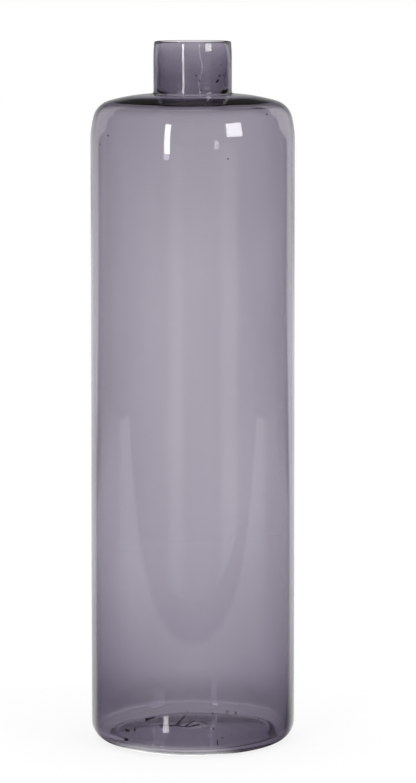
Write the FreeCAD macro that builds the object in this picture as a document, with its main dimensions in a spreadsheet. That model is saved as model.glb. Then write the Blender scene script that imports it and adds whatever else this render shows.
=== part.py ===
import FreeCAD, Part
import math
import os
import Sketcher

from FreeCAD import Vector

# A tall bottle vase of mouth-blown tinted glass: a straight, slightly tapered wall on a foot
# that is pushed up a little underneath, a tight round shoulder, and a short neck whose lip was
# drawn in and fire-polished.
#
# Glass is worked in stages, and each stage is a solid of its own here: the thick foot, the
# blown wall, the shoulder and the neck. They meet face to face at flat rings, where the hot
# glass runs together.
#
# Lengths are millimetres. The origin is the middle of the foot, on the table, with +Z up.

# Driving dimensions, each named once
DRIVING_SIZES = {
    "total_height": 582.0,
    "body_radius": 85.0,  # outside of the wall, just above the foot's corner
    # Foot
    "foot_height": 40.0,  # from the table to the seam with the wall
    "corner_radius": 16.0,  # round from the wall to the underside
    "rest_ring_width": 5.0,  # flat ring that stands on the table
    "ring_edge_radius": 4.0,  # round from that ring into the kick-up
    "kick_up_height": 6.0,  # hollow under the middle of the foot
    "floor_thickness": 5.5,  # glass over the top of the kick-up
    "floor_edge_thickness": 5.5,  # glass under the lowest line of the floor
    "floor_groove_radius": 7.5,  # round from the domed floor to the wall inside
    "pontil_radius": 12.0,  # ground spot where the iron held the foot
    "pontil_depth": 0.6,
    "cut_overrun": 2.0,  # how far a cut starts outside the glass
    # Wall
    "wall_taper": 0.8,  # how much closer to the axis its outside is at the shoulder
    "low_wall_thickness": 4.8,  # at the seam with the foot
    "middle_wall_height": 240.0,  # from the table to where the glass stops thinning
    "middle_wall_thickness": 2.9,
    "high_wall_thickness": 3.0,  # at the seam with the shoulder
    # Shoulder
    "ease_radius": 85.0,  # the slow lean inwards above the wall
    "ease_height": 20.0,
    "bend_radius": 18.4,  # the tight bend over to the flat top
    "root_fillet": 2.0,  # from the flat top up to the neck
    "throat_radius": 7.5,  # from under the flat top up into the bore
    # Neck
    "neck_length": 45.9,
    "neck_radius": 32.3,
    "neck_wall_thickness": 6.5,  # at the seam with the shoulder
    "straight_bore_length": 17.0,  # from that seam to where the bore starts to open
    "mouth_radius": 28.9,  # inside, just under the lip's rounding
    "lip_draw_length": 13.0,  # how far down from the lip the outside starts to draw in
    "lip_draw_radius": 137.0,
    "lip_outer_round": 1.3,
    "lip_inner_round": 1.3,
}

# Sizes that follow from those, as formulas of the sheet
DERIVED_SIZES = {
    "shoulder_radius": "=body_radius - wall_taper",
    "shoulder_rise": "=ease_height + bend_radius * (1 - ease_height / ease_radius)",
    "neck_seam_height": "=total_height - neck_length",
    "wall_height": "=neck_seam_height - root_fillet - shoulder_rise",
    "wall_length": "=wall_height - foot_height",
    "seam_radius": "=body_radius - wall_taper"
    " * (foot_height - corner_radius) / (wall_height - corner_radius)",
    "foot_inner_radius": "=seam_radius - low_wall_thickness",
    "shoulder_inner_radius": "=shoulder_radius - high_wall_thickness",
    "middle_inner_radius": "=body_radius - middle_wall_thickness"
    " - wall_taper * (middle_wall_height - corner_radius) / (wall_height - corner_radius)",
    "thick_wall_length": "=middle_wall_height - foot_height",
    "rest_ring_radius": "=body_radius - corner_radius - rest_ring_width",
    "kick_up_radius": "=(rest_ring_radius^2 + kick_up_height^2"
    " - 2 * kick_up_height * ring_edge_radius) / (2 * kick_up_height)",
    "pontil_edge_height": "=kick_up_height - kick_up_radius"
    " + sqrt(kick_up_radius^2 - pontil_radius^2)",
    "pontil_top_height": "=kick_up_height + pontil_depth",
    "pontil_start_height": "=pontil_edge_height - cut_overrun",
    "floor_height": "=kick_up_height + floor_thickness",
    "groove_height": "=floor_edge_thickness + floor_groove_radius",
    "bore_radius": "=neck_radius - neck_wall_thickness",
    "lip_draw_start": "=neck_length - lip_draw_length",
    "lip_inner_edge_radius": "=mouth_radius + lip_inner_round",
}

START, END, CENTRE = 1, 2, 3  # the points of a line or an arc, as a sketch counts them
ORIGIN = (-1, 1)  # the origin of a sketch


def make_size_sheet(doc):
    """The spreadsheet that holds every size under its own name."""
    sheet = doc.addObject("Spreadsheet::Sheet", "Sizes")
    rows = [(name, str(value)) for name, value in DRIVING_SIZES.items()]
    rows += list(DERIVED_SIZES.items())
    for row, (name, content) in enumerate(rows, start=1):
        sheet.set(f"A{row}", name)
        sheet.setAlias(f"B{row}", name)
        sheet.set(f"B{row}", content)
    doc.recompute()
    return sheet


class HalfSection:
    """A closed outline in the plane of radius and height, drawn near its place and then sized."""

    def __init__(self, body, name, sheet):
        self.sheet = sheet
        self.sketch = body.newObject("Sketcher::SketchObject", name)
        plane = next(item for item in body.Origin.OriginFeatures if item.Role == "XZ_Plane")
        self.sketch.AttachmentSupport = [(plane, "")]
        self.sketch.MapMode = "FlatFace"

    def line(self, start, end):
        return self.sketch.addGeometry(Part.LineSegment(Vector(*start, 0), Vector(*end, 0)))

    def arc(self, centre, radius, first, last):
        """An arc that runs counter-clockwise from one angle to another, in radians."""
        circle = Part.Circle(Vector(*centre, 0), Vector(0, 0, 1), radius)
        return self.sketch.addGeometry(Part.ArcOfCircle(circle, first, last))

    def rule(self, kind, *places):
        return self.sketch.addConstraint(Sketcher.Constraint(kind, *places))

    def meet(self, one, one_end, other, other_end):
        """Joins two ends with a corner."""
        self.rule("Coincident", one, one_end, other, other_end)

    def flow(self, one, one_end, other, other_end):
        """Joins two ends without a corner."""
        self.rule("Tangent", one, one_end, other, other_end)

    def on_axis(self, item, point):
        """Keeps a point on the sketch's upright axis, which a sketch counts as item -2."""
        self.rule("PointOnObject", item, point, -2)

    def on_base(self, item, point):
        """Keeps a point on the sketch's level axis, which a sketch counts as item -1."""
        self.rule("PointOnObject", item, point, -1)

    def size(self, name, kind, *places):
        """A dimension that takes its value from the sheet."""
        number = self.rule(kind, *places, self.sheet.get(name))
        self.sketch.setExpression(f"Constraints[{number}]", f"Sizes.{name}")

    def radius(self, name, arc):
        self.size(name, "Radius", arc)

    def out(self, name, item, point):
        """How far a point lies from the axis."""
        self.size(name, "DistanceX", *ORIGIN, item, point)

    def up(self, name, item, point):
        """How far a point lies above the sketch's origin."""
        self.size(name, "DistanceY", *ORIGIN, item, point)


def new_body(doc, name):
    body = doc.addObject("PartDesign::Body", name)
    body.Label = name
    return body


def turn(body, section, kind, name):
    """Turns a half section once round the axis, to add glass or to cut it."""
    feature = body.newObject(f"PartDesign::{kind}", name)
    feature.Profile = section.sketch
    feature.ReferenceAxis = (section.sketch, ["V_Axis"])
    feature.Angle = 360
    section.sketch.Visibility = False
    body.Document.recompute()
    return feature


def make_foot(doc, sheet):
    """The foot: a cup whose floor is pushed up into a low dome over a hollow underside."""
    body = new_body(doc, "foot")
    size = sheet.get

    corner = (size("body_radius") - size("corner_radius"), size("corner_radius"))
    ring_edge = (size("rest_ring_radius"), size("ring_edge_radius"))
    hollow = (0, size("kick_up_height") - size("kick_up_radius"))
    groove_radius = size("floor_groove_radius")
    groove = (size("foot_inner_radius") - groove_radius, size("groove_height"))
    drop = size("floor_height") - groove[1]
    dome_radius = (groove[0] ** 2 + drop**2 - groove_radius**2) / (2 * (drop + groove_radius))
    dome = (0, size("floor_height") - dome_radius)
    hollow_end = math.atan2(ring_edge[1] - hollow[1], ring_edge[0])
    dome_end = math.atan2(groove[1] - dome[1], groove[0])

    section = HalfSection(body, "foot_section", sheet)
    middle = section.line((0, size("kick_up_height")), (0, size("floor_height")))
    floor = section.arc(dome, dome_radius, dome_end, math.pi / 2)
    groove_arc = section.arc(groove, groove_radius, math.pi + dome_end, 2 * math.pi)
    inside = section.line(
        (size("foot_inner_radius"), groove[1]), (size("foot_inner_radius"), size("foot_height"))
    )
    seam = section.line(
        (size("foot_inner_radius"), size("foot_height")), (size("seam_radius"), size("foot_height"))
    )
    outside = section.line((size("seam_radius"), size("foot_height")), (size("body_radius"), corner[1]))
    corner_arc = section.arc(corner, size("corner_radius"), -math.pi / 2, 0)
    rest_ring = section.line((corner[0], 0), (ring_edge[0], 0))
    ring_edge_arc = section.arc(
        ring_edge, size("ring_edge_radius"), hollow_end - math.pi, -math.pi / 2
    )
    kick_up = section.arc(hollow, size("kick_up_radius"), hollow_end, math.pi / 2)

    section.on_axis(middle, START)
    section.on_axis(middle, END)
    section.meet(middle, END, floor, END)
    section.on_axis(floor, CENTRE)
    section.flow(floor, START, groove_arc, START)
    section.flow(groove_arc, END, inside, START)
    section.rule("Vertical", inside)
    section.meet(inside, END, seam, START)
    section.rule("Horizontal", seam)
    section.meet(seam, END, outside, START)
    section.flow(outside, END, corner_arc, END)
    section.flow(corner_arc, START, rest_ring, START)
    section.on_base(rest_ring, START)
    section.on_base(rest_ring, END)
    section.flow(rest_ring, END, ring_edge_arc, END)
    section.flow(ring_edge_arc, START, kick_up, START)
    section.meet(kick_up, END, middle, START)
    section.on_axis(kick_up, CENTRE)

    section.up("kick_up_height", middle, START)
    section.up("floor_height", middle, END)
    section.radius("floor_groove_radius", groove_arc)
    section.up("groove_height", groove_arc, CENTRE)
    section.out("foot_inner_radius", inside, END)
    section.up("foot_height", seam, END)
    section.out("seam_radius", seam, END)
    section.out("body_radius", corner_arc, END)
    section.radius("corner_radius", corner_arc)
    section.out("rest_ring_radius", rest_ring, END)
    section.radius("ring_edge_radius", ring_edge_arc)
    turn(body, section, "Revolution", "foot_turned")

    cut_pontil_mark(body, sheet)
    return body


def cut_pontil_mark(body, sheet):
    """The shallow dish ground under the foot, where it broke away from the iron."""
    size = sheet.get
    edge = (size("pontil_radius"), size("pontil_edge_height"))
    top = size("pontil_top_height")
    depth = top - edge[1]
    radius = (edge[0] ** 2 + depth**2) / (2 * depth)
    first = math.atan2(edge[1] - top + radius, edge[0])

    section = HalfSection(body, "pontil_section", sheet)
    middle = section.line((0, top), (0, size("pontil_start_height")))
    below = section.line((0, size("pontil_start_height")), (edge[0], size("pontil_start_height")))
    side = section.line((edge[0], size("pontil_start_height")), edge)
    dish = section.arc((0, top - radius), radius, first, math.pi / 2)

    section.on_axis(middle, START)
    section.on_axis(middle, END)
    section.meet(middle, END, below, START)
    section.rule("Horizontal", below)
    section.meet(below, END, side, START)
    section.rule("Vertical", side)
    section.meet(side, END, dish, START)
    section.on_axis(dish, CENTRE)
    section.meet(dish, END, middle, START)

    section.up("pontil_top_height", middle, START)
    section.up("pontil_start_height", middle, END)
    section.out("pontil_radius", side, END)
    section.up("pontil_edge_height", side, END)
    turn(body, section, "Groove", "pontil_mark")


def make_wall(doc, sheet):
    """The blown wall: a tall tube that narrows a little, with more glass in its lower half."""
    body = new_body(doc, "body_wall")
    body.setExpression("Placement.Base.z", "Sizes.foot_height")
    size = sheet.get

    section = HalfSection(body, "wall_section", sheet)
    low_seam = section.line((size("foot_inner_radius"), 0), (size("seam_radius"), 0))
    outside = section.line((size("seam_radius"), 0), (size("shoulder_radius"), size("wall_length")))
    high_seam = section.line(
        (size("shoulder_radius"), size("wall_length")),
        (size("shoulder_inner_radius"), size("wall_length")),
    )
    middle = (size("middle_inner_radius"), size("thick_wall_length"))
    high_inside = section.line((size("shoulder_inner_radius"), size("wall_length")), middle)
    low_inside = section.line(middle, (size("foot_inner_radius"), 0))

    section.on_base(low_seam, START)
    section.on_base(low_seam, END)
    section.meet(low_seam, END, outside, START)
    section.meet(outside, END, high_seam, START)
    section.rule("Horizontal", high_seam)
    section.meet(high_seam, END, high_inside, START)
    section.meet(high_inside, END, low_inside, START)
    section.meet(low_inside, END, low_seam, START)

    section.out("foot_inner_radius", low_seam, START)
    section.out("seam_radius", low_seam, END)
    section.out("shoulder_radius", high_seam, START)
    section.out("shoulder_inner_radius", high_seam, END)
    section.up("wall_length", high_seam, START)
    section.out("middle_inner_radius", high_inside, END)
    section.up("thick_wall_length", high_inside, END)
    turn(body, section, "Revolution", "wall_turned")
    return body


def make_shoulder(doc, sheet):
    """The shoulder: the wall leans in, bends over to a flat top and turns up into the neck."""
    body = new_body(doc, "shoulder")
    body.setExpression("Placement.Base.z", "Sizes.wall_height")
    size = sheet.get

    ease = (size("shoulder_radius") - size("ease_radius"), 0)
    lean = math.asin(size("ease_height") / size("ease_radius"))
    step = size("ease_radius") - size("bend_radius")
    bend = (ease[0] + step * math.cos(lean), step * math.sin(lean))
    top = size("shoulder_rise")
    root = (size("neck_radius") + size("root_fillet"), top + size("root_fillet"))
    throat = (size("bore_radius") + size("throat_radius"), root[1])
    inner_bend_radius = size("bend_radius") - size("high_wall_thickness")
    apart = (bend[0] - throat[0], throat[1] - bend[1])
    reach = (size("throat_radius") + inner_bend_radius) / math.hypot(*apart)
    slope = math.asin(reach) - math.atan2(apart[1], apart[0])
    throat_end = 1.5 * math.pi + slope
    under_start = on_circle(throat, size("throat_radius"), throat_end)
    under_end = on_circle(bend, inner_bend_radius, math.pi / 2 + slope)

    section = HalfSection(body, "shoulder_section", sheet)
    wall_seam = section.line((size("shoulder_inner_radius"), 0), (size("shoulder_radius"), 0))
    ease_arc = section.arc(ease, size("ease_radius"), 0, lean)
    bend_arc = section.arc(bend, size("bend_radius"), lean, math.pi / 2)
    flat_top = section.line((bend[0], top), (root[0], top))
    root_arc = section.arc(root, size("root_fillet"), math.pi, 1.5 * math.pi)
    neck_seam = section.line((size("neck_radius"), root[1]), (size("bore_radius"), root[1]))
    throat_arc = section.arc(throat, size("throat_radius"), math.pi, throat_end)
    underside = section.line(under_start, under_end)
    inner_bend = section.arc(bend, inner_bend_radius, lean, math.pi / 2 + slope)
    inner_ease = section.arc(ease, size("ease_radius") - size("high_wall_thickness"), 0, lean)

    section.on_base(wall_seam, START)
    section.on_base(wall_seam, END)
    section.meet(wall_seam, END, ease_arc, START)
    section.on_base(ease_arc, CENTRE)
    section.flow(ease_arc, END, bend_arc, START)
    section.flow(bend_arc, END, flat_top, START)
    section.rule("Horizontal", flat_top)
    section.flow(flat_top, END, root_arc, END)
    section.rule("Horizontal", root_arc, START, root_arc, CENTRE)
    section.meet(root_arc, START, neck_seam, START)
    section.rule("Horizontal", neck_seam)
    section.meet(neck_seam, END, throat_arc, START)
    section.rule("Horizontal", throat_arc, START, throat_arc, CENTRE)
    section.flow(throat_arc, END, underside, START)
    section.flow(underside, END, inner_bend, END)
    section.meet(inner_bend, CENTRE, bend_arc, CENTRE)
    section.flow(inner_bend, START, inner_ease, END)
    section.meet(inner_ease, CENTRE, ease_arc, CENTRE)
    section.meet(inner_ease, START, wall_seam, START)

    section.out("shoulder_inner_radius", wall_seam, START)
    section.out("shoulder_radius", wall_seam, END)
    section.radius("ease_radius", ease_arc)
    section.up("ease_height", ease_arc, END)
    section.radius("bend_radius", bend_arc)
    section.radius("root_fillet", root_arc)
    section.out("neck_radius", neck_seam, START)
    section.out("bore_radius", neck_seam, END)
    section.radius("throat_radius", throat_arc)
    turn(body, section, "Revolution", "shoulder_turned")
    return body


def on_circle(centre, radius, angle):
    return (centre[0] + radius * math.cos(angle), centre[1] + radius * math.sin(angle))


def make_neck(doc, sheet):
    """The neck: a short collar, drawn in a little and melted round again at its lip."""
    body = new_body(doc, "neck")
    body.setExpression("Placement.Base.z", "Sizes.neck_seam_height")
    size = sheet.get
    outer, bore, length = size("neck_radius"), size("bore_radius"), size("neck_length")
    outer_round, inner_round = size("lip_outer_round"), size("lip_inner_round")

    draw_radius = size("lip_draw_radius")
    draw = (outer - draw_radius, size("lip_draw_start"))
    rise = length - outer_round - draw[1]
    lean = math.asin(rise / (draw_radius - outer_round))
    lip_centre = (draw[0] + (draw_radius - outer_round) * math.cos(lean), length - outer_round)
    lip_inner = (size("lip_inner_edge_radius"), length - inner_round)
    bore_end = (bore, size("straight_bore_length"))
    opening = math.atan2(size("mouth_radius") - bore, lip_inner[1] - bore_end[1])
    mouth = on_circle(lip_inner, inner_round, math.pi - opening)

    section = HalfSection(body, "neck_section", sheet)
    seam = section.line((bore, 0), (outer, 0))
    outside = section.line((outer, 0), (outer, draw[1]))
    draw_arc = section.arc(draw, draw_radius, 0, lean)
    outer_lip = section.arc(lip_centre, outer_round, lean, math.pi / 2)
    lip = section.line((lip_centre[0], length), (lip_inner[0], length))
    inner_lip = section.arc(lip_inner, inner_round, math.pi / 2, math.pi - opening)
    flare = section.line(mouth, bore_end)
    inside = section.line(bore_end, (bore, 0))

    section.on_base(seam, START)
    section.on_base(seam, END)
    section.meet(seam, END, outside, START)
    section.rule("Vertical", outside)
    section.flow(outside, END, draw_arc, START)
    section.flow(draw_arc, END, outer_lip, START)
    section.flow(outer_lip, END, lip, START)
    section.rule("Horizontal", lip)
    section.flow(lip, END, inner_lip, START)
    section.flow(inner_lip, END, flare, START)
    section.meet(flare, END, inside, START)
    section.rule("Vertical", inside)
    section.meet(inside, END, seam, START)

    section.out("bore_radius", seam, START)
    section.out("neck_radius", seam, END)
    section.up("lip_draw_start", outside, END)
    section.radius("lip_draw_radius", draw_arc)
    section.up("neck_length", lip, START)
    section.radius("lip_outer_round", outer_lip)
    section.out("lip_inner_edge_radius", lip, END)
    section.radius("lip_inner_round", inner_lip)
    section.up("straight_bore_length", flare, END)
    turn(body, section, "Revolution", "neck_turned")
    return body


def check_document(doc, bodies):
    """Stops before anything is written if an object failed or a solid is not sound."""
    for item in doc.Objects:
        if {"Invalid", "Error"} & set(item.State):
            raise RuntimeError(f"{item.Label} failed: {item.State}")
        if item.isDerivedFrom("Sketcher::SketchObject") and not item.FullyConstrained:
            raise RuntimeError(f"{item.Label} is not fully constrained")
    for body in bodies:
        if body.Shape.isNull() or not body.Shape.isValid() or len(body.Shape.Solids) != 1:
            raise RuntimeError(f"{body.Label} is not one sound solid")


def main():
    doc = FreeCAD.newDocument("bottle_vase")
    sheet = make_size_sheet(doc)
    bodies = [maker(doc, sheet) for maker in (make_foot, make_wall, make_shoulder, make_neck)]
    doc.recompute()
    check_document(doc, bodies)
    os.makedirs("parts", exist_ok=True)
    for body in bodies:
        body.Shape.exportStep(f"parts/{body.Label}.step")
        box = body.Shape.BoundBox
        print(f"{body.Label}: z {box.ZMin:.2f} to {box.ZMax:.2f}, {body.Shape.Volume / 1000:.1f} cm3")


main()
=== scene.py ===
# %% [markdown]
# # A hand-blown bottle vase in smoke-purple glass
#
# The real vase is one gather of glass. It is blown into a tall cylinder, its
# foot is pushed up with a rod while it is soft, and its short neck is drawn out
# of the low-domed shoulder, then cut and fire-polished at the lip. Nothing is
# assembled afterwards, so the finished thing is one closed skin of glass.
#
# This lesson draws half of the wall's cut face with a single point that is
# extruded and spun, turns that line round the axis like a lathe, and then
# spends its effort on what makes glass look like glass: true wall thickness,
# colour that comes from depth, an uneven inside, stones, and a studio to mirror.

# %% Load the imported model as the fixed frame
import math

import bpy
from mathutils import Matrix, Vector, noise


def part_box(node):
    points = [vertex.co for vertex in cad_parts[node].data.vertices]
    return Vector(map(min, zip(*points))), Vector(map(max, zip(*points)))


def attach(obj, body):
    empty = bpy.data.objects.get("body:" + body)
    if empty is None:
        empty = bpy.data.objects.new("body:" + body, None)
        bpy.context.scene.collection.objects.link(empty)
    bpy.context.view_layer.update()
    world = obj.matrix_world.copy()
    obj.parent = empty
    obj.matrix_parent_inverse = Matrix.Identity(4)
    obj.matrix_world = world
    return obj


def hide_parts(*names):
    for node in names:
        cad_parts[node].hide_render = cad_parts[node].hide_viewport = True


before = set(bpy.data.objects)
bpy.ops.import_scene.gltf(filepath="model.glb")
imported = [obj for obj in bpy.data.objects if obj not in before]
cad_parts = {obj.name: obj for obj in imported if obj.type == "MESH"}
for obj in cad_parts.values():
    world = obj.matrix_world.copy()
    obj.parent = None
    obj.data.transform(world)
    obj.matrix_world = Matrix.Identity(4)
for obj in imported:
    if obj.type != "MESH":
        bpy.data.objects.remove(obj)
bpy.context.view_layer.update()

# %% [markdown]
# ## Sizes
#
# The main sizes come from the frame, so that the glass stands exactly where the
# solids stand. The sizes inside the glass, such as a wall or a small radius, are
# the maker's own and are written here in millimetres. Slopes are in degrees.

# %% Sizes of the vase
MM = 0.001
FOOT_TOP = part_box("foot")[1].z
BODY_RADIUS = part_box("foot")[1].x
WALL_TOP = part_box("body_wall")[1].z
TOP_WALL_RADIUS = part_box("shoulder")[1].x
SHOULDER_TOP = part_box("neck")[0].z
NECK_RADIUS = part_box("neck")[1].x
TOTAL_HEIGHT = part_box("neck")[1].z

CORNER_RADIUS = 16 * MM
REST_RING_WIDTH = 5 * MM
RING_EDGE_RADIUS = 4 * MM
KICK_UP_HEIGHT = 6 * MM
FLOOR_THICKNESS = 5.5 * MM
FLOOR_EDGE = 4.6 * MM
GROOVE_RADIUS = 7 * MM
PONTIL_RADIUS = 12 * MM
PONTIL_DEPTH = 0.6 * MM
LOW_WALL = 4.8 * MM
HIGH_WALL = 3 * MM
UPPER_WALL = 3 * MM
UPPER_WALL_HEIGHT = 450 * MM
MIDDLE_WALL = 2.9 * MM
MIDDLE_WALL_HEIGHT = 240 * MM
EASE_RADIUS = 85 * MM
BEND_RADIUS = 18.4 * MM
BEND_END_SLOPE = 15.5
ROOT_SLOPE = 3
ROOT_FILLET = 2 * MM
THROAT_RADIUS = 9.5 * MM
THROAT_LIFT = 9.0 * MM
ROOT_WALL = 6.1 * MM
STRAIGHT_BORE = 17 * MM
MOUTH_RADIUS = 28.9 * MM
LIP_LEAN_START = 13 * MM
LIP_LEAN = 4.4
LIP_LEAN_RADIUS = 80 * MM
LIP_OUTER_ROUND = 1.3 * MM
LIP_INNER_ROUND = 1.3 * MM
print("body radius", round(BODY_RADIUS / MM, 2), "height", round(TOTAL_HEIGHT / MM, 1))

# %% [markdown]
# ## A pencil made of one vertex
#
# A glassworker's profile is straight runs that flow into arcs. In edit mode one
# vertex can draw such a line: extruded it leaves a straight edge behind it, and
# spun about the centre of an arc it leaves a row of short edges. Both are what
# one would do by hand with E and with the Spin tool.

# %% The pencil
UPRIGHT = (0, 0, 1)
ACROSS = (0, 1, 0)


def deselect_all():
    """Leaves nothing selected, as the frame's own nodes arrive selected."""
    for thing in bpy.context.selected_objects:
        thing.select_set(False)


def put_pencil(name, radius, height):
    """Starts a drawing: a small plane, merged to the one vertex in its middle."""
    deselect_all()
    bpy.ops.mesh.primitive_plane_add(size=MM, location=(radius, 0, height))
    drawing = bpy.context.object
    drawing.name = name
    bpy.ops.object.transform_apply(location=True, rotation=True, scale=True)
    bpy.ops.object.mode_set(mode="EDIT")
    bpy.ops.mesh.select_all(action="SELECT")
    bpy.ops.mesh.merge(type="CENTER")
    return {"object": drawing, "at": (radius, height)}


def draw_to(pencil, radius, height, steps=1):
    """A straight run to (radius, height), left in equal steps."""
    start_radius, start_height = pencil["at"]
    move = ((radius - start_radius) / steps, 0, (height - start_height) / steps)
    for _ in range(steps):
        bpy.ops.mesh.extrude_region_move(TRANSFORM_OT_translate={"value": move})
    pencil["at"] = (radius, height)


def draw_round(pencil, centre, degrees, steps):
    """An arc about centre. Positive degrees turn anticlockwise, seen from the front."""
    angle = math.radians(degrees)
    out, up = pencil["at"][0] - centre[0], pencil["at"][1] - centre[1]
    bpy.ops.mesh.spin(steps=steps, angle=angle, center=(centre[0], 0, centre[1]), axis=ACROSS)
    pencil["at"] = (
        centre[0] + out * math.cos(angle) - up * math.sin(angle),
        centre[1] + out * math.sin(angle) + up * math.cos(angle),
    )


def dome_radius(reach, rise, edge_radius):
    """A dome's radius, from the round edge that it touches: how far out it is, and how far below."""
    return (reach**2 + rise**2 - edge_radius**2) / (2 * (rise + edge_radius))


# %% [markdown]
# ## The outside of the glass
#
# From below: the pontil scar where the rod was broken off, the kick-up dome
# behind it, the narrow ring that the vase stands on, the rolled corner, the long
# wall that draws in by less than a millimetre, the soft turn into the shoulder,
# and the neck with its fire-polished lip. Each arc meets its neighbours on a
# shared tangent, because blown glass has no creases.

# %% Draw the outside
RING_CENTRE = BODY_RADIUS - CORNER_RADIUS
RING_INNER = RING_CENTRE - REST_RING_WIDTH
GLASS = put_pencil("vase_glass", 0, KICK_UP_HEIGHT + PONTIL_DEPTH)

# The kick-up is part of a sphere that touches the round edge of the ring, so its
# radius follows from the two heights and the ring's place.
KICK_UP_RADIUS = dome_radius(RING_INNER, KICK_UP_HEIGHT - RING_EDGE_RADIUS, RING_EDGE_RADIUS)
kick_up_centre = (0, KICK_UP_HEIGHT - KICK_UP_RADIUS)
kick_up_end = math.degrees(math.atan2(RING_INNER, RING_EDGE_RADIUS - kick_up_centre[1]))
scar_edge = math.degrees(math.asin(PONTIL_RADIUS / KICK_UP_RADIUS))
scar_foot = kick_up_centre[1] + KICK_UP_RADIUS * math.cos(math.radians(scar_edge))
print("kick-up radius", round(KICK_UP_RADIUS / MM, 1), "mm, to", round(kick_up_end, 1), "degrees")

draw_to(GLASS, PONTIL_RADIUS * 0.9, KICK_UP_HEIGHT + PONTIL_DEPTH, 4)
draw_to(GLASS, PONTIL_RADIUS, scar_foot)
draw_round(GLASS, kick_up_centre, scar_edge - kick_up_end, 24)
draw_round(GLASS, (RING_INNER, RING_EDGE_RADIUS), 90 - kick_up_end, 8)
draw_to(GLASS, RING_CENTRE, 0, 3)
draw_round(GLASS, (RING_CENTRE, CORNER_RADIUS), 90, 18)
draw_to(GLASS, TOP_WALL_RADIUS, WALL_TOP, 80)

# %% [markdown]
# ## The shoulder and the neck
#
# The turn at the top is three arcs. A large one eases the wall inwards, a small
# one carries it over, and a very large one makes the low dome of the shoulder's
# top, which still rises a little where it meets the neck. Each arc leaves on the
# tangent of the one before it. The small circle sits inside the first one and
# touches it, which fixes where both end.

# %% Draw the shoulder and the neck from outside
ease_centre = (TOP_WALL_RADIUS - EASE_RADIUS, WALL_TOP)
flat_top = SHOULDER_TOP - ROOT_FILLET
bend_centre_height = flat_top - BEND_RADIUS
ease_angle = math.asin((bend_centre_height - WALL_TOP) / (EASE_RADIUS - BEND_RADIUS))
bend_centre = (
    ease_centre[0] + (EASE_RADIUS - BEND_RADIUS) * math.cos(ease_angle),
    bend_centre_height,
)
ease_degrees = math.degrees(ease_angle)
print("the wall eases in over", round(ease_degrees, 2), "degrees")

draw_round(GLASS, ease_centre, ease_degrees, 10)
draw_round(GLASS, bend_centre, 90 - ease_degrees - BEND_END_SLOPE, 26)

# The dome falls from BEND_END_SLOPE to ROOT_SLOPE on its way from the bend to the
# round at the neck's root, and that gives its radius.
bend_end = GLASS["at"]
bend_end_slope, root_slope = math.radians(BEND_END_SLOPE), math.radians(ROOT_SLOPE)
root_out = NECK_RADIUS + ROOT_FILLET
top_across = bend_end[0] - root_out + ROOT_FILLET * math.sin(root_slope)
top_radius = top_across / (math.sin(bend_end_slope) - math.sin(root_slope))
top_centre = (
    bend_end[0] - top_radius * math.sin(bend_end_slope),
    bend_end[1] - top_radius * math.cos(bend_end_slope),
)
draw_round(GLASS, top_centre, BEND_END_SLOPE - ROOT_SLOPE, 14)
root_up = GLASS["at"][1] + ROOT_FILLET * math.cos(root_slope)
draw_round(GLASS, (root_out, root_up), ROOT_SLOPE - 90, 10)
print("the shoulder rises", round((root_up - SHOULDER_TOP) / MM, 2), "mm to the root")
draw_to(GLASS, NECK_RADIUS, TOTAL_HEIGHT - LIP_LEAN_START, 60)

# The lip was drawn in a little while it was hot: an arc that leaves the neck
# without a crease, then a lean of LIP_LEAN degrees that runs into the small round
# of the lip.
draw_round(GLASS, (NECK_RADIUS - LIP_LEAN_RADIUS, TOTAL_HEIGHT - LIP_LEAN_START), LIP_LEAN, 8)
lean = math.radians(LIP_LEAN)
bend_out, bend_up = GLASS["at"]
lean_end = TOTAL_HEIGHT - LIP_OUTER_ROUND * (1 - math.sin(lean))
lean_out = bend_out - (lean_end - bend_up) * math.tan(lean)
lip_centre = (lean_out - LIP_OUTER_ROUND * math.cos(lean), TOTAL_HEIGHT - LIP_OUTER_ROUND)
draw_to(GLASS, lean_out, lean_end, 5)
draw_round(GLASS, lip_centre, 90 - LIP_LEAN, 6)
print("the lip draws in", round((NECK_RADIUS - lean_out) / MM, 2), "mm")

# %% [markdown]
# ## The inside of the glass
#
# The same pencil goes over the lip and down the bore, so wall thickness is real
# everywhere. Glass runs down while it is hot: the wall is 3 mm at the shoulder
# and nearly 5 mm at the foot, and the floor over the kick-up is 5.5 mm. The neck
# has the most glass, because the piece hung from the pipe there.

# %% Draw the inside
BORE = NECK_RADIUS - ROOT_WALL
inner_lip_centre = (MOUTH_RADIUS + LIP_INNER_ROUND, TOTAL_HEIGHT - LIP_INNER_ROUND)
opening = math.atan2(MOUTH_RADIUS - BORE, inner_lip_centre[1] - SHOULDER_TOP - STRAIGHT_BORE)
draw_to(GLASS, inner_lip_centre[0], TOTAL_HEIGHT)
draw_round(GLASS, inner_lip_centre, 90 - math.degrees(opening), 8)
draw_to(GLASS, BORE, SHOULDER_TOP + STRAIGHT_BORE, 14)
draw_to(GLASS, BORE, SHOULDER_TOP + THROAT_LIFT, 10)

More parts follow.
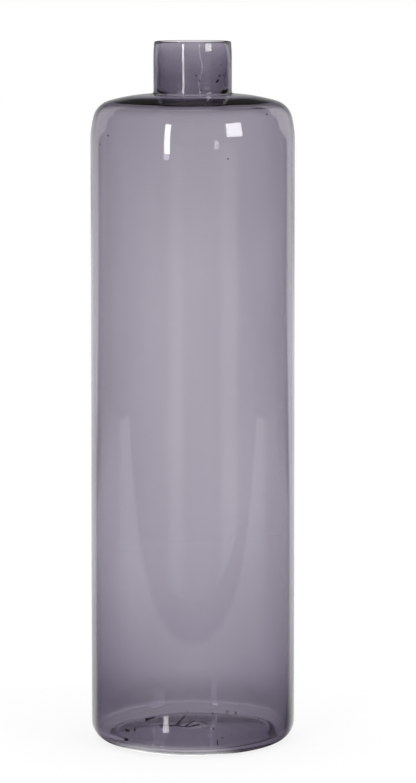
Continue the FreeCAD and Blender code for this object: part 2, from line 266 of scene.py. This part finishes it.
# The throat's arc and the bend's inner arc share a tangent, which is the slope
# of the shoulder's underside.
throat_centre = (BORE + THROAT_RADIUS, SHOULDER_TOP + THROAT_LIFT)
inner_bend = BEND_RADIUS - HIGH_WALL
across = bend_centre[0] - throat_centre[0]
drop = throat_centre[1] - bend_centre[1]
reach = math.hypot(across, drop)
slope_degrees = 90 - math.degrees(math.acos((inner_bend + THROAT_RADIUS) / reach)) - math.degrees(
    math.atan2(drop, across)
)
print("the shoulder's underside slopes", round(slope_degrees, 2), "degrees")
draw_round(GLASS, throat_centre, 90 - slope_degrees, 12)
underside_start = (
    bend_centre[0] + inner_bend * math.sin(math.radians(-slope_degrees)),
    bend_centre[1] + inner_bend * math.cos(math.radians(-slope_degrees)),
)
draw_to(GLASS, *underside_start, 12)
draw_round(GLASS, bend_centre, ease_degrees - 90 - slope_degrees, 22)
draw_round(GLASS, ease_centre, -ease_degrees, 8)

taper = (BODY_RADIUS - TOP_WALL_RADIUS) / (WALL_TOP - CORNER_RADIUS)


def outside_radius(height):
    """How far the tapered wall's outside is from the axis."""
    return BODY_RADIUS - taper * (height - CORNER_RADIUS)


# The wall thins fast above the foot, on an arc that leaves the straight middle of
# the wall on its tangent.
FLOOR_INNER_RADIUS = outside_radius(FOOT_TOP) - LOW_WALL
MIDDLE_RADIUS = outside_radius(MIDDLE_WALL_HEIGHT) - MIDDLE_WALL
UPPER_RADIUS = outside_radius(UPPER_WALL_HEIGHT) - UPPER_WALL
draw_to(GLASS, UPPER_RADIUS, UPPER_WALL_HEIGHT, 9)
draw_to(GLASS, MIDDLE_RADIUS, MIDDLE_WALL_HEIGHT, 38)
thickening = MIDDLE_RADIUS - FLOOR_INNER_RADIUS
span = MIDDLE_WALL_HEIGHT - FOOT_TOP
swell_radius = (span**2 + thickening**2) / (2 * thickening)
swell_degrees = math.degrees(math.asin(span / swell_radius))
draw_round(GLASS, (MIDDLE_RADIUS - swell_radius, MIDDLE_WALL_HEIGHT), -swell_degrees, 26)
draw_to(GLASS, FLOOR_INNER_RADIUS, FLOOR_EDGE + GROOVE_RADIUS, 4)

# The floor's dome touches the groove's arc from outside, as the kick-up does the
# ring's edge.
groove_centre = (FLOOR_INNER_RADIUS - GROOVE_RADIUS, FLOOR_EDGE + GROOVE_RADIUS)
floor_top = KICK_UP_HEIGHT + FLOOR_THICKNESS
floor_radius = dome_radius(groove_centre[0], floor_top - groove_centre[1], GROOVE_RADIUS)
floor_centre = (0, floor_top - floor_radius)
floor_end = math.degrees(math.atan2(groove_centre[0], groove_centre[1] - floor_centre[1]))
print("floor dome radius", round(floor_radius / MM, 1), "mm, to", round(floor_end, 1), "degrees")
draw_round(GLASS, groove_centre, -90 - floor_end, 16)
draw_round(GLASS, floor_centre, floor_end, 24)
print("the line ends at", [round(value / MM, 3) for value in GLASS["at"]])

# %% [markdown]
# ## The lathe
#
# The line is spun once round the axis. Both its ends lie on the axis, so their
# copies are merged into one point each, and the skin is closed.

# %% Turn the line round the axis
AROUND = 192
bpy.ops.mesh.select_all(action="SELECT")
bpy.ops.mesh.spin(
    steps=AROUND, angle=2 * math.pi, center=(0, 0, 0), axis=UPRIGHT, use_auto_merge=True
)
bpy.ops.mesh.select_all(action="SELECT")
bpy.ops.mesh.remove_doubles(threshold=0.02 * MM)
bpy.ops.mesh.normals_make_consistent(inside=False)
bpy.ops.mesh.select_mode(type="FACE")
bpy.ops.object.mode_set(mode="OBJECT")
vase = GLASS["object"]
bpy.ops.object.shade_smooth()
print("glass faces", len(vase.data.polygons))

# %% [markdown]
# ## An uneven inside
#
# Only the outside of blown glass is shaped against wet wood and paper. The
# inside is shaped by breath, so it keeps soft waves that run with the way the
# glass was drawn: long in the height and short around. They are what bends the
# reflections. Glass also settles on the side that was held lowest, and here that
# is the right front of the foot. Each wave has a depth and the lengths of its
# grain along x, y and z.

# %% Let the inside wander
WALL_WAVE = 0.16 * MM
WALL_GRAIN = (22 * MM, 22 * MM, 90 * MM)
WALL_SWELL = 0.32 * MM
SWELL_GRAIN = (50 * MM, 50 * MM, 100 * MM)
FLOOR_WAVE = 0.05 * MM
FLOOR_GRAIN = (16 * MM, 9 * MM, 20 * MM)
NECK_WAVE = 0.378 * MM
NECK_GRAIN = (11 * MM, 11 * MM, 50 * MM)
NECK_SLANT = 11 / 16
LIP_FADE = 8 * MM
JACK_RIPPLE = 0.08 * MM
JACK_PITCH = 2.5 * MM
JACK_GRAIN = (20 * MM, 20 * MM, 10 * MM)
SETTLED = 3.2 * MM
SETTLED_BEARING = math.radians(-28)
SETTLED_HEIGHT = 46 * MM
SETTLED_FROM = 45 * MM
SETTLED_FADE = 30 * MM
SETTLED_LIFT = 0.35


def inside_of(corner, outward):
    """True for a vertex of the skin that the air inside touches.

    Such a vertex faces the axis, or upward in the floor, or downward under the
    shoulder. The kick-up and the ring also face down, but lie in the foot.
    """
    if corner.z < FOOT_TOP and outward.z < -0.1:
        return False
    if corner.z < FOOT_TOP and outward.z > 0.2:
        return True
    if corner.z > WALL_TOP and outward.z < -0.3:
        return True
    radius = math.hypot(corner.x, corner.y)
    return radius > MM and (corner.x * outward.x + corner.y * outward.y) / radius < -0.15


def wave(x, y, z, grain):
    """Smooth noise from -1 to 1, with bumps as long as the grain says."""
    return noise.noise(Vector((x / grain[0], y / grain[1], z / grain[2])))


def unevenness(x, y, z):
    """How far the inside is pushed along its normal at a place."""
    over_groove = math.hypot(x, y) > FLOOR_INNER_RADIUS - GROOVE_RADIUS
    if z > SHOULDER_TOP:
        depth = NECK_WAVE * min(1, (TOTAL_HEIGHT - z) / LIP_FADE)
        push = depth * wave(x + (z - SHOULDER_TOP) * NECK_SLANT, y, z, NECK_GRAIN)
    elif z < FOOT_TOP and not over_groove:
        push = FLOOR_WAVE * wave(x, y, z, FLOOR_GRAIN)
    else:
        push = WALL_WAVE * wave(x, y, z, WALL_GRAIN)
    if over_groove and z < SHOULDER_TOP:
        push += WALL_SWELL * wave(x, y, z, SWELL_GRAIN)
    return push


def settling(x, y, z):
    """How the glass ran inwards and up at the side that was held lowest."""
    radius = max(math.hypot(x, y), MM)
    near = max(0, math.cos(math.atan2(y, x) - SETTLED_BEARING)) ** 3
    low = max(0, 1 - z / SETTLED_HEIGHT) ** 2
    edge = min(1, max(0, radius - SETTLED_FROM) / SETTLED_FADE)
    return Vector((-x / radius, -y / radius, SETTLED_LIFT)) * SETTLED * near * low * edge


inside = [point for point in vase.data.vertices if inside_of(point.co, point.normal)]
moves = [point.normal * unevenness(*point.co) + settling(*point.co) for point in inside]
for point, move in zip(inside, moves):
    point.co += move

# The jacks that narrowed the neck left fine rings around the lower part of it.
ripple_low = SHOULDER_TOP + 3 * MM
ripple_high = TOTAL_HEIGHT - LIP_LEAN_START
neck_skin = NECK_RADIUS - 0.5 * MM
for point in vase.data.vertices:
    x, y, z = point.co
    if ripple_low < z < ripple_high and math.hypot(x, y) > neck_skin:
        fade = math.sin(math.pi * (z - ripple_low) / (ripple_high - ripple_low))
        drift = wave(x, y, z, JACK_GRAIN)
        turn = 2 * math.pi * z / JACK_PITCH + 3 * drift
        inward = JACK_RIPPLE * fade * (0.6 + drift) * (1 + math.sin(turn))
        point.co.x -= inward * x / NECK_RADIUS
        point.co.y -= inward * y / NECK_RADIUS
vase.data.update()
print("inside points", len(inside), "moved by up to", round(max(m.length for m in moves) / MM, 2), "mm")

# %% [markdown]
# ## What was left in the glass
#
# The photograph shows dark specks in the wall and the neck, and crumbs and a mark
# like a small twig on the floor inside. The specks are stones: bits of the pot
# that never melted. Each is a tiny closed solid within the glass. The crumbs and
# the twig lie loose on the floor, so their heights follow the floor's own dome.
# One curve with a round bevel draws the twig, and small balls make the rest.

# %% Stones, ash and the twig mark
# In millimetres: a stone is x, y, z and its radius, and a crumb x, y and its radius.
STONES = [
    (-68.4, -48.2, 507.3, 0.7), (-74.8, -37.5, 499.5, 0.6), (28.2, -78.8, 490.2, 0.6),
    (59.8, -58.5, 524.8, 0.6), (2.7, -29, 555, 0.6), (5.6, -28.6, 550.5, 0.7),
    (6.5, -28.4, 542.8, 0.6), (12.5, -26.4, 558.6, 0.5), (18.8, -22.3, 549.7, 0.85),
    (19.9, -21.3, 550.7, 1), (21.1, -20.1, 554.5, 0.75), (22.1, -19, 563.2, 0.5),
    (24, -16.5, 554.9, 0.5),
]
CRUMBS = [
    (-40.6, 31, 1.1), (-38.2, 34.3, 0.8), (-34.3, 39.5, 0.7), (-28.9, 31.5, 0.6),
    (-68.7, 10.4, 0.7), (-55.3, -6.6, 1), (-53.6, -9.3, 0.9), (-48.6, -10.3, 0.8),
    (-28.9, -56.3, 0.7), (17.5, -21.2, 0.8), (-5.6, 70.5, 0.6), (17.5, 53.1, 0.7),
    (31.8, 68.6, 0.7), (39.1, 63.6, 0.7), (56.6, 26.5, 0.6), (20.4, -49.8, 0.6),
    (24.6, -43.6, 0.7), (32.4, -35, 0.5), (8, -14, 0.5), (-12, 2, 0.45),
]
# Each stroke of the twig is a row of x, y places.
TWIG = [
    [(-27.9, -3.6), (-21, -7.7), (-14.9, -7.4), (-8.4, -13), (-2.5, -14), (5, -5.4)],
    [(-14.9, -7.4), (-12.4, 1.5), (-11, 11.3), (-9, 22), (-7.2, 36.8)],
    [(-6.7, -12.5), (-3.4, -2.1), (0.8, 6.1)],
    [(-40.6, 31), (-38.2, 34.3), (-34.3, 39.5)],
]
TWIG_RADIUS = 0.5 * MM
SPECK_ROUGHNESS = 0.15 * MM
SPECK_GRAIN = 0.7 * MM


def floor_height(x, y):
    """How high the floor inside the vase is at (x, y)."""
    radius = math.hypot(x, y)
    if radius < floor_radius * math.sin(math.radians(floor_end)):
        return floor_centre[1] + math.sqrt(floor_radius**2 - radius**2)
    return groove_centre[1] - math.sqrt(GROOVE_RADIUS**2 - (radius - groove_centre[0]) ** 2)


print("stones", len(STONES), "crumbs", len(CRUMBS), "twig strokes", len(TWIG))
deselect_all()
curve = bpy.data.curves.new("twig_lines", "CURVE")
curve.dimensions = "3D"
curve.bevel_depth = TWIG_RADIUS
curve.bevel_resolution = 2
curve.use_fill_caps = True
for line in TWIG:
    stroke = curve.splines.new("POLY")
    stroke.points.add(len(line) - 1)
    for spot, (x, y) in zip(stroke.points, line):
        spot.co = (x * MM, y * MM, floor_height(x * MM, y * MM) + TWIG_RADIUS / 2, 1)
        spot.radius = 0.8 + 0.4 * noise.noise(Vector((x, y, 0)))
twig = bpy.data.objects.new("stones_and_ash", curve)
bpy.context.scene.collection.objects.link(twig)
twig.select_set(True)
bpy.context.view_layer.objects.active = twig
bpy.ops.object.convert(target="MESH")
specks = bpy.context.object
bpy.ops.object.mode_set(mode="EDIT")
crumbs = [(x, y, floor_height(x * MM, y * MM) / MM + size * 0.4, size) for x, y, size in CRUMBS]
for x, y, z, size in STONES + crumbs:
    bpy.ops.mesh.primitive_uv_sphere_add(
        segments=12, ring_count=8, radius=size * MM, location=(x * MM, y * MM, z * MM)
    )
bpy.ops.mesh.select_all(action="SELECT")
bpy.ops.mesh.normals_make_consistent(inside=False)
bpy.ops.object.mode_set(mode="OBJECT")
for point in specks.data.vertices:
    point.co += point.normal * SPECK_ROUGHNESS * noise.noise(point.co / SPECK_GRAIN)
bpy.ops.object.shade_smooth()
print("faces of the stones and ash", len(specks.data.polygons))

# %% [markdown]
# ## Colour that comes from depth
#
# The colour is in the melt: a little manganese, which takes green most, then red,
# then blue. So the surface is clear and the volume absorbs. Where the eye looks
# along a wall or through the thick neck the glass goes dark, and a thin wall
# stays pale. The surface was cooled from the fire and never ground, so it is
# perfectly sharp, and mirrors the room with no haze. A trace of broad ripple
# keeps the mirrored edges from being ruled lines.

# %% Glass
def linear(code):
    """A colour written #RRGGBB, as the linear values that a shader takes."""
    parts = [int(code[place : place + 2], 16) / 255 for place in (1, 3, 5)]
    return [
        part / 12.92 if part <= 0.04045 else ((part + 0.055) / 1.055) ** 2.4 for part in parts
    ] + [1.0]


def add_node(tree, kind, settings=None, inputs=None):
    """Adds a node, sets its properties, and fills its sockets with values or links."""
    node = tree.nodes.new(kind)
    for name, value in (settings or {}).items():
        setattr(node, name, value)
    for socket, value in (inputs or {}).items():
        if isinstance(value, bpy.types.NodeSocket):
            tree.links.new(value, node.inputs[socket])
        else:
            node.inputs[socket].default_value = value
    return node


def new_material(name):
    """An empty node material and its tree."""
    material = bpy.data.materials.new(name)
    material.use_nodes = True
    material.node_tree.nodes.clear()
    return material, material.node_tree


# What a metre of the glass takes from red, green and blue, as the volume shader
# wants it: a density, and a colour that holds the rest.
DENSITY = 200.0
TAKEN = (145, 157, 129)
ABSORPTION = [1 - share / DENSITY for share in TAKEN] + [1.0]

glass, tree = new_material("smoke_purple_blown_glass")
place = add_node(tree, "ShaderNodeTexCoord")
waves = add_node(
    tree, "ShaderNodeTexNoise", {}, {"Vector": place.outputs["Object"], "Scale": 25.0, "Detail": 2.0}
)
ripple = add_node(
    tree,
    "ShaderNodeBump",
    {},
    {"Height": waves.outputs["Fac"], "Strength": 0.1, "Distance": 0.1 * MM},
)
surface = add_node(
    tree,
    "ShaderNodeBsdfPrincipled",
    {},
    {
        "Base Color": linear("#FFFFFF"),
        "Roughness": 0.0,
        "IOR": 1.5,
        "Transmission Weight": 1.0,
        "Normal": ripple.outputs["Normal"],
    },
)
depth = add_node(tree, "ShaderNodeVolumeAbsorption", {}, {"Color": ABSORPTION, "Density": DENSITY})
add_node(
    tree,
    "ShaderNodeOutputMaterial",
    {},
    {"Surface": surface.outputs["BSDF"], "Volume": depth.outputs["Volume"]},
)
vase.data.materials.clear()
vase.data.materials.append(glass)

# %% [markdown]
# ## Ash and stones
#
# Burnt plant matter and pot clay are matt and nearly black, with browner parts.
# A fine noise mixes the two tones.

# %% Ash
ash, tree = new_material("burnt_ash_in_glass")
place = add_node(tree, "ShaderNodeTexCoord")
patches = add_node(
    tree, "ShaderNodeTexNoise", {}, {"Vector": place.outputs["Object"], "Scale": 900.0, "Detail": 3.0}
)
tones = add_node(
    tree,
    "ShaderNodeMix",
    {"data_type": "RGBA"},
    {0: patches.outputs["Fac"], 6: linear("#1C1518"), 7: linear("#3A2A28")},
)
surface = add_node(
    tree, "ShaderNodeBsdfPrincipled", {}, {"Base Color": tones.outputs[2], "Roughness": 0.7, "IOR": 1.1}
)
add_node(tree, "ShaderNodeOutputMaterial", {}, {"Surface": surface.outputs["BSDF"]})
specks.data.materials.clear()
specks.data.materials.append(ash)

# %% [markdown]
# ## White paper under and behind the vase
#
# A product photograph stands the glass on white paper that rises behind it. Glass
# shows little of itself and much of what is around, so the paper is built with
# care. The floor takes the vase's soft shadow and is seen through the glass. A
# second sheet just under it is seen only in the glass: it is what the outside
# mirrors, a painted reflection that glows. It is a wedge that widens behind the
# vase and fades toward its top. Painted light on it makes white cards beside the
# shoulder, the table around the paper, a pool of light that the foot throws round
# itself, and the sheen of the left lamp on the table.

# %% Light on the white paper
PAPER_HALF_WIDTH = 1.25
PAPER_FRONT = -0.56
PAPER_BACK = 0.95
PAPER_EVEN = 0.3
PAPER_TOP = 1.6
MIRRORED_TOP = 0.88
WEDGE_TIP = 0.13
LOW_SPREAD = 0.8
HIGH_SPREAD = 1.05
TOP_SPREAD = 1.85
LEFT_CARD = 0.8
RIGHT_CARD = 1.04
FOOT_LIGHT = 2.6
TABLE_LIGHT = 0.95
SHEEN = 9.0
SHEEN_PLACE = (-0.09, -0.197, 0)
SHEEN_BEARING = math.radians(-30.4)
SHEEN_HALF_LENGTH = 0.034
SHEEN_HALF_WIDTH = 0.009
SHEEN_HALF_HEIGHT = 0.01
ROOM_THROUGH = 0.45
ROOM_FRONT = 0.25
ROOM_MIRRORED = 0.06


def blend(tree, source, start, end, low=0.0, high=1.0):
    """Goes smoothly from low to high while source goes from start to end."""
    return add_node(
        tree,
        "ShaderNodeMapRange",
        {"interpolation_type": "SMOOTHSTEP"},
        {"Value": source, "From Min": start, "From Max": end, "To Min": low, "To Max": high},
    ).outputs["Result"]


def join(tree, operation, one, other):
    """Works one number out of two."""
    return add_node(tree, "ShaderNodeMath", {"operation": operation}, {0: one, 1: other}).outputs[0]


def product(tree, *factors):
    """Multiplies all that it is given."""
    result = factors[-1]
    for factor in reversed(factors[:-1]):
        result = join(tree, "MULTIPLY", factor, result)
    return result


def size_of(tree, source):
    """The value without its sign."""
    return add_node(tree, "ShaderNodeMath", {"operation": "ABSOLUTE"}, {0: source}).outputs[0]


def vectors(tree, operation, one, other, output):
    """Works two vectors together, such as into their distance."""
    node = add_node(tree, "ShaderNodeVectorMath", {"operation": operation}, {0: one, 1: other})
    return node.outputs[output]


def where_seen(tree):
    """The place that a ray meets, whole and as x, y and z."""
    position = add_node(tree, "ShaderNodeNewGeometry").outputs["Position"]
    split = add_node(tree, "ShaderNodeSeparateXYZ", {}, {0: position})
    return position, split.outputs["X"], split.outputs["Y"], split.outputs["Z"]


def paper_through_glass(tree):
    """The floor as the glass shows it: full on the paper, the room's level off it."""
    _, x, y, _ = where_seen(tree)
    in_width = blend(tree, size_of(tree, x), PAPER_HALF_WIDTH * 2.4, PAPER_HALF_WIDTH * 0.6)
    in_depth = blend(tree, y, PAPER_FRONT - 1.6, PAPER_FRONT + 0.4)
    return join(tree, "MAXIMUM", product(tree, in_width, in_depth), ROOM_THROUGH)


def wedge(tree, x, y, z):
    """The mirrored paper, which widens with the distance behind the vase and with height."""
    behind = join(tree, "MAXIMUM", join(tree, "ADD", y, WEDGE_TIP), 0.01)
    share = join(tree, "DIVIDE", size_of(tree, x), behind)
    rising = blend(tree, z, 0, 0.25, LOW_SPREAD, HIGH_SPREAD)
    widening = blend(tree, z, 0.4, 0.75, 0, TOP_SPREAD - HIGH_SPREAD)
    past_edge = join(tree, "SUBTRACT", share, join(tree, "ADD", rising, widening))
    return product(tree, blend(tree, past_edge, 0.15, -0.15), blend(tree, y, -0.03, 0.03))


def foot_light(tree, x, apart):
    """A painted pool of light on the mirrored paper close to the foot, standing for light that the foot
    gathers and throws there.
    """
    return product(
        tree,
        blend(tree, apart, 0.095, 0.084, 0, FOOT_LIGHT),
        blend(tree, x, -0.075, -0.04),
        blend(tree, x, 0.045, 0.01),
    )


def table_light(tree, y, z, apart):
    """Painted light on the table around the vase, which is brighter farther off and in front; the dark
    part close to the vase is a painted shadow.
    """
    farther = blend(tree, apart, 0.25, 0.52, 0, TABLE_LIGHT)
    in_front = blend(tree, y, 0.15, -0.3, 0.25, 1)
    return join(tree, "MULTIPLY", join(tree, "MULTIPLY", farther, in_front), blend(tree, z, 0.05, 0))


def sheen(tree, position):
    """A painted reflection of the left lamp on the table: a soft-edged box of light."""
    offset = vectors(tree, "SUBTRACT", position, SHEEN_PLACE, "Vector")
    sine, cosine = math.sin(SHEEN_BEARING), math.cos(SHEEN_BEARING)
    limits = []
    for line, half in (
        ((sine, -cosine, 0), SHEEN_HALF_LENGTH),
        ((cosine, sine, 0), SHEEN_HALF_WIDTH),
        (UPRIGHT, SHEEN_HALF_HEIGHT),
    ):
        along = size_of(tree, vectors(tree, "DOT_PRODUCT", offset, line, "Value"))
        limits.append(blend(tree, along, half * 1.15, half * 0.85))
    return join(tree, "MULTIPLY", product(tree, limits[2], limits[0], limits[1]), SHEEN)


def paper_in_mirror(tree, room, top):
    """The sheet as the glass mirrors it, a painted reflection, with the painted light that lies on it
    and the glowing cards that stand on it.
    """
    position, x, y, z = where_seen(tree)
    apart = vectors(tree, "DISTANCE", position, (0, 0, 0), "Value")
    lit = join(tree, "MAXIMUM", foot_light(tree, x, apart), table_light(tree, y, z, apart))
    in_width = join(tree, "MAXIMUM", wedge(tree, x, y, z), lit)
    in_depth = blend(tree, y, PAPER_FRONT - 0.05, PAPER_FRONT + 0.0125)
    below_top = add_node(
        tree, "ShaderNodeMapRange", {}, {"Value": z, "From Min": top, "From Max": PAPER_EVEN}
    )
    # Painted light: the white cards beside the shoulder are glowing patches of the sheet, seen only in
    # the glass.
    cards = join(
        tree,
        "MAXIMUM",
        blend(tree, x, -0.35, -0.9, 0, LEFT_CARD),
        blend(tree, x, 0.3, 0.8, 0, RIGHT_CARD),
    )
    in_height = join(tree, "MAXIMUM", below_top.outputs["Result"], cards)
    on_paper = join(tree, "ADD", product(tree, in_width, in_depth, in_height), sheen(tree, position))
    return join(tree, "MAXIMUM", on_paper, room)


# %% [markdown]
# ## The floor and the mirrored sheet
#
# The floor is matt paper that also glows a little, as bright paper under big
# lamps does. For the eye it is evenly white. Through the glass it is darker off
# the paper, and a soft ring round the foot is painted darker too: a painted
# shadow of the vase that shows only through the glass. The mirrored sheet is a
# painted reflection of lit paper: it gives light and takes none, so it casts and
# catches no shadow.

# %% The white paper
FLOOR_RADIUS = 12
FLOOR_GLOW = 0.82
FOOT_SHADE = 0.25
white_floor, tree = new_material("white_floor")
ray = add_node(tree, "ShaderNodeLightPath")
spot = add_node(tree, "ShaderNodeNewGeometry")
out = add_node(tree, "ShaderNodeVectorMath", {"operation": "LENGTH"}, {0: spot.outputs["Position"]})
# Painted shadow: a soft ring round the foot, darker only through the glass, stands for the vase's own
# shadow on the paper.
ring = join(
    tree,
    "MULTIPLY",
    blend(tree, out.outputs["Value"], 0.07, 0.09),
    blend(tree, out.outputs["Value"], 0.28, 0.15),
)
after_painted_shadow = join(tree, "SUBTRACT", 1, join(tree, "MULTIPLY", ring, FOOT_SHADE))
through = join(tree, "MULTIPLY", after_painted_shadow, paper_through_glass(tree))
level = join(tree, "MAXIMUM", through, ray.outputs["Is Camera Ray"])
glow = join(tree, "MULTIPLY", level, FLOOR_GLOW)
dull = join(tree, "MULTIPLY", level, 1 - FLOOR_GLOW)
shade = add_node(tree, "ShaderNodeCombineColor", {}, {0: dull, 1: dull, 2: dull})
diffuse = add_node(tree, "ShaderNodeBsdfDiffuse", {}, {"Color": shade.outputs[0]})
light = add_node(tree, "ShaderNodeEmission", {}, {"Strength": glow})
both = add_node(tree, "ShaderNodeAddShader", {}, {0: diffuse.outputs[0], 1: light.outputs[0]})
add_node(tree, "ShaderNodeOutputMaterial", {}, {"Surface": both.outputs[0]})

deselect_all()
bpy.ops.mesh.primitive_circle_add(
    vertices=96, radius=FLOOR_RADIUS, fill_type="NGON", location=(0, 0, 0)
)
floor = bpy.context.object
floor.name = "studio_floor"
floor.visible_glossy = False
floor.data.materials.append(white_floor)

# The mirrored sheet glows with painted light: a painted reflection of lit paper that only the glass
# shows.
painted_reflection_paper, tree = new_material("painted_reflection_paper")
ray = add_node(tree, "ShaderNodeLightPath")
room = blend(tree, ray.outputs["Is Transmission Ray"], 0, 1, ROOM_MIRRORED, ROOM_THROUGH)
top = blend(tree, ray.outputs["Is Transmission Ray"], 0, 1, MIRRORED_TOP, PAPER_TOP)
light = add_node(tree, "ShaderNodeEmission", {}, {"Strength": paper_in_mirror(tree, room, top)})
add_node(tree, "ShaderNodeOutputMaterial", {}, {"Surface": light.outputs[0]})

# The sheet is a plane from SHEET_FRONT to PAPER_BACK, a millimetre under the
# floor, whose back edge is extruded upward.
SHEET_FRONT = -0.8
SHEET_HALF_WIDTH = (PAPER_BACK + WEDGE_TIP) * (TOP_SPREAD + 0.15)
deselect_all()
bpy.ops.mesh.primitive_plane_add(size=2, location=(0, 0, 0))
sweep = bpy.context.object
sweep.name = "painted_reflection_sweep"
bpy.ops.object.mode_set(mode="EDIT")
bpy.ops.transform.resize(value=(SHEET_HALF_WIDTH, (PAPER_BACK - SHEET_FRONT) / 2, 1))
bpy.ops.transform.translate(value=(0, (PAPER_BACK + SHEET_FRONT) / 2, -MM))
bpy.ops.mesh.select_mode(type="EDGE")
bpy.ops.mesh.select_all(action="DESELECT")
bpy.ops.object.mode_set(mode="OBJECT")
for edge in sweep.data.edges:
    edge.select = all(sweep.data.vertices[end].co.y > 0 for end in edge.vertices)
bpy.ops.object.mode_set(mode="EDIT")
bpy.ops.mesh.extrude_region_move(TRANSFORM_OT_translate={"value": (0, 0, PAPER_TOP)})
bpy.ops.object.mode_set(mode="OBJECT")
sweep.visible_camera = False
sweep.visible_shadow = False
sweep.visible_diffuse = False
sweep.data.materials.append(painted_reflection_paper)

# %% [markdown]
# ## Lamps and room
#
# Two tall softboxes make the clean bar on the left and the patch on the right.
# The world is the room: white for the eye, grey for what comes through the
# glass, and nearly dark for what the glass mirrors, apart from a veil of light
# from the window side and two faint strips below it.

# %% Studio
VEIL = 0.25
STRIP = 0.8
world = bpy.data.worlds.new("studio")
bpy.context.scene.world = world
world.use_nodes = True
tree = world.node_tree
tree.nodes.clear()
ray = add_node(tree, "ShaderNodeLightPath")
toward = add_node(tree, "ShaderNodeTexCoord")
split = add_node(tree, "ShaderNodeSeparateXYZ", {}, {0: toward.outputs["Generated"]})
ahead = join(tree, "MULTIPLY", split.outputs["Y"], -1.0)
bearing = join(tree, "ARCTAN2", split.outputs["X"], ahead)
height_angle = add_node(
    tree, "ShaderNodeMath", {"operation": "ARCSINE"}, {0: split.outputs["Z"]}
).outputs[0]


def panel(left, right, low, high, level, soft=3.0):
    """A patch of light on the world's sphere, between bearings and heights in degrees."""
    edges = (
        blend(tree, bearing, math.radians(left - soft), math.radians(left + soft)),
        blend(tree, bearing, math.radians(right + soft), math.radians(right - soft)),
        blend(tree, height_angle, math.radians(low - soft), math.radians(low + soft)),
        blend(tree, height_angle, math.radians(high + soft), math.radians(high - soft)),
    )
    across = join(tree, "MULTIPLY", edges[0], edges[1])
    upward = join(tree, "MULTIPLY", edges[2], edges[3])
    return join(tree, "MULTIPLY", level, join(tree, "MULTIPLY", across, upward))


veil = panel(-33, 54, -60, 22, VEIL)
strips = join(
    tree, "ADD", panel(-25, -11, -10.7, -3.5, STRIP, 4.0), panel(32, 50, -10.7, -3.5, STRIP, 4.0)
)
mirrored = join(tree, "ADD", ROOM_MIRRORED, join(tree, "ADD", veil, strips))
from_front = blend(tree, split.outputs["Y"], -0.3, 0.3, ROOM_FRONT, ROOM_THROUGH)
through = join(tree, "MULTIPLY", ray.outputs["Is Transmission Ray"], from_front)
open_sky = join(tree, "MAXIMUM", ray.outputs["Is Camera Ray"], ray.outputs["Is Diffuse Ray"])
level = join(tree, "MAXIMUM", open_sky, through)
level = join(tree, "MAXIMUM", level, join(tree, "MULTIPLY", ray.outputs["Is Glossy Ray"], mirrored))
light = add_node(tree, "ShaderNodeBackground", {}, {"Color": [1, 1, 1, 1], "Strength": level})
add_node(tree, "ShaderNodeOutputWorld", {}, {"Surface": light.outputs[0]})


def softbox(name, bearing, low, high, width, distance, radiance):
    """A rectangular lamp that faces the vase. Its bearing is degrees to the right of the camera."""
    lamp = bpy.data.lights.new(name, "AREA")
    lamp.shape = "RECTANGLE"
    lamp.size, lamp.size_y = width, high - low
    lamp.energy = radiance * math.pi * lamp.size * lamp.size_y
    stand = bpy.data.objects.new(name, lamp)
    bpy.context.scene.collection.objects.link(stand)
    angle = math.radians(bearing)
    stand.location = (distance * math.sin(angle), -distance * math.cos(angle), (low + high) / 2)
    stand.rotation_euler = (math.pi / 2, 0, angle)
    return stand


softbox("left_softbox", -28, 0.33, 1.62, 0.32, 3.0, 14)
softbox("right_softbox", 48, 0.85, 1.62, 1.0, 3.0, 10)

# %% [markdown]
# ## The camera
#
# A long lens nearly 3 m away, a little above the shoulder and tilted down, gives
# the flat ellipses of the lip and of the foot.

# %% Camera
LENS = 163.9
CAMERA_PLACE = (0, -2.937, 0.6644)
TILT_DOWN = 7.22
TURN_RIGHT = 0.246
camera_data = bpy.data.cameras.new("camera")
camera = bpy.data.objects.new("camera", camera_data)
bpy.context.scene.collection.objects.link(camera)
bpy.context.scene.camera = camera
camera_data.sensor_width = 36
camera_data.lens = LENS
camera.location = CAMERA_PLACE
camera.rotation_euler = (math.radians(90 - TILT_DOWN), 0, math.radians(-TURN_RIGHT))
bpy.context.scene.view_settings.view_transform = "Standard"

# %% [markdown]
# ## Hand over
#
# One skin of glass stands for all four solids, because two sheets of glass that
# touched would show a seam that fused glass doesn't have. The stones ride with it.

# %% Hand over
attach(vase, "root")
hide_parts("foot", "body_wall", "shoulder", "neck")
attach(specks, "root")
